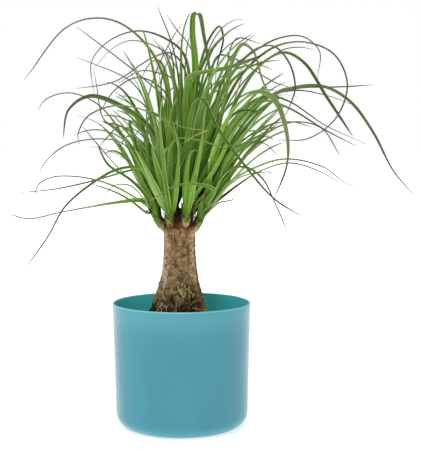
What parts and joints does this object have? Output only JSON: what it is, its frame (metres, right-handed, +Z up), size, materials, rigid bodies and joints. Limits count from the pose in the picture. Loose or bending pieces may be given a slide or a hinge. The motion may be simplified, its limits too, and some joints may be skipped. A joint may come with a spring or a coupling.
{
  "type": "potted ponytail palm",
  "caption": "Ponytail palm with a stout tapering trunk and an arching crown of long narrow leaves, in a round cover pot.",
  "frame": {"origin": "centre of the pot's flat underside", "axes": "+Z up along the pot's axis, front of the plant towards -Y, +X to the right seen from the front"},
  "size_m": [0.451, 0.3241, 0.4554],
  "materials": {
    "pot": "satin",
    "soil": "matte",
    "bark": "matte",
    "leaf": "satin"
  },
  "bodies": {
    "root": {"pot": "pot", "soil": "soil", "trunk": "bark", "shoot_left": "leaf", "shoot_front_left": "leaf", "shoot_front_right": "leaf", "shoot_right": "leaf", "shoot_back_right": "leaf", "shoot_back_left": "leaf"}
  },
  "joints": []
}
